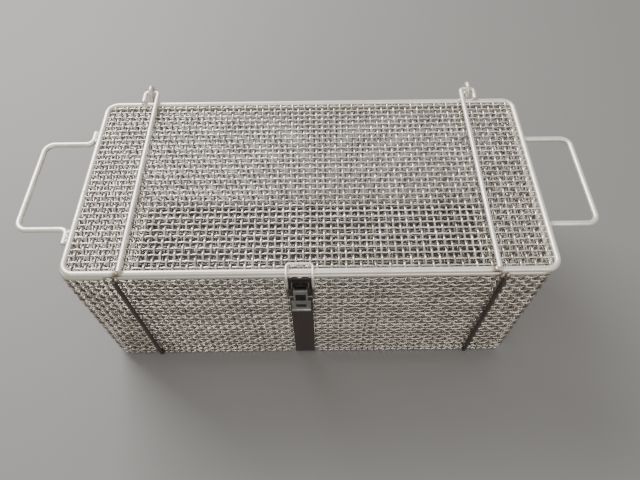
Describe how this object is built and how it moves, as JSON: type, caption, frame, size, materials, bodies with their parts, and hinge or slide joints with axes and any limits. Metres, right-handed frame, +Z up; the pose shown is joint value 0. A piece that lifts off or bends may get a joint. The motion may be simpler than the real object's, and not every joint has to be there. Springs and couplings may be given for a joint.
{
  "type": "lidded wire mesh wash basket",
  "caption": "Rectangular stainless wire mesh basket with a hinged mesh lid, fixed side handles, skid rods and a front toggle latch.",
  "frame": {"origin": "on the floor under the middle of the whole basket's box, handles and hinge eyes included", "axes": "+X along the long side to the right seen from the latch, +Y from the latch to the hinge, +Z up"},
  "size_m": [0.499, 0.2224, 0.1753],
  "materials": {
    "frame_steel": "electropolished satin stainless round bar",
    "mesh_steel": "electropolished stainless crimped wire, plain weave",
    "rod_steel": "electropolished satin stainless round bar",
    "handle_steel": "electropolished satin stainless round bar",
    "strap_steel": "stainless flat strip, fine lengthwise grain",
    "latch_steel": "pressed stainless sheet, satin",
    "bail_steel": "bright drawn stainless wire",
    "pin_steel": "stainless, turned and headed"
  },
  "bodies": {
    "basket": {"rim_frame": "frame_steel", "mesh_bottom": "mesh_steel", "mesh_front": "mesh_steel", "mesh_back": "mesh_steel", "mesh_left": "mesh_steel", "mesh_right": "mesh_steel", "skid_rod_left": "rod_steel", "skid_rod_right": "rod_steel", "handle_left": "handle_steel", "handle_right": "handle_steel", "front_strap": "strap_steel", "latch_base": "latch_steel", "latch_pivot_pin": "pin_steel", "latch_rivet_upper": "pin_steel", "latch_rivet_lower": "pin_steel"},
    "lid": {"lid_frame": "frame_steel", "lid_mesh": "mesh_steel", "lid_rod_left": "rod_steel", "lid_rod_right": "rod_steel"},
    "latch_lever": {"latch_lever": "latch_steel"},
    "latch_bail": {"latch_bail": "bail_steel"}
  },
  "joints": [
    {"name": "lid_hinge", "type": "hinge", "parent": "basket", "child": "lid", "pos_m": [0, 0.10395, 0.168], "axis": [-1, 0, 0], "range_deg": [0, 230]},
    {"name": "lever_pivot", "type": "hinge", "parent": "basket", "child": "latch_lever", "pos_m": [-0.0055, -0.10715, 0.147], "axis": [-1, 0, 0], "range_deg": [0, 150]},
    {"name": "bail_pivot", "type": "hinge", "parent": "latch_lever", "child": "latch_bail", "pos_m": [-0.0055, -0.10685, 0.135], "axis": [1, 0, 0], "range_deg": [0, 195]}
  ],
  "couplings": [
    {"joint": "bail_pivot", "follows": "lever_pivot", "ratio": 1.3}
  ]
}
